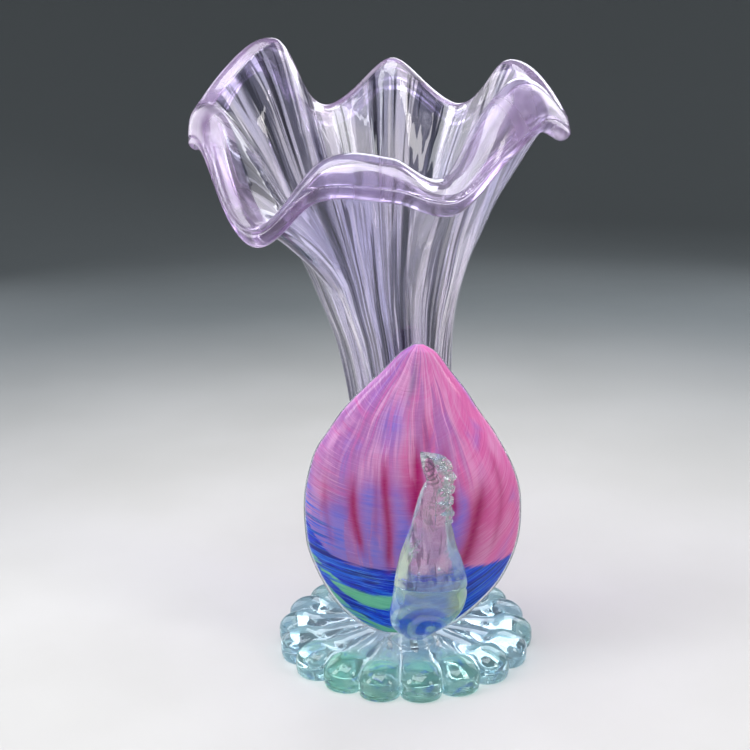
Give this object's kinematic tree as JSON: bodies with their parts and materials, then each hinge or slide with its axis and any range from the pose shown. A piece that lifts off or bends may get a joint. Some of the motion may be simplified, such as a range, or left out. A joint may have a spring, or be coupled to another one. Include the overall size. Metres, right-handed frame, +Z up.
{
  "type": "vase",
  "caption": "Hand blown glass vase with a ruffled trumpet, a coloured fluted teardrop tail, a small clear bird and a lobed foot.",
  "frame": {"origin": "middle of the foot's flat ground face", "axes": "+Z up along the vase's height; the tail and the bird face -Y; +X to the right as seen from the front"},
  "size_m": [0.107, 0.096, 0.1817],
  "materials": {
    "foot_glass": "clear, with aqua and blue streaks in the lobes",
    "clear_glass": "clear, fire polished",
    "trumpet_glass": "clear lilac with optic ribs, fire polished",
    "lip_glass": "milky pink and lilac, fire polished",
    "tail_glass": "opaque streaked pink, magenta, lilac, cobalt and green, glossy",
    "bird_glass": "clear, with blue and green swirls at the base",
    "crest_glass": "clear, notched and bubbly"
  },
  "bodies": {
    "root": {"foot": "foot_glass", "joining_disc": "clear_glass", "trumpet": "trumpet_glass", "lip_wrap": "lip_glass", "joining_bit": "clear_glass", "tail_core": "tail_glass", "tail_casing": "clear_glass", "bird_body": "bird_glass", "bird_neck": "bird_glass", "bird_crest": "crest_glass"}
  },
  "joints": []
}
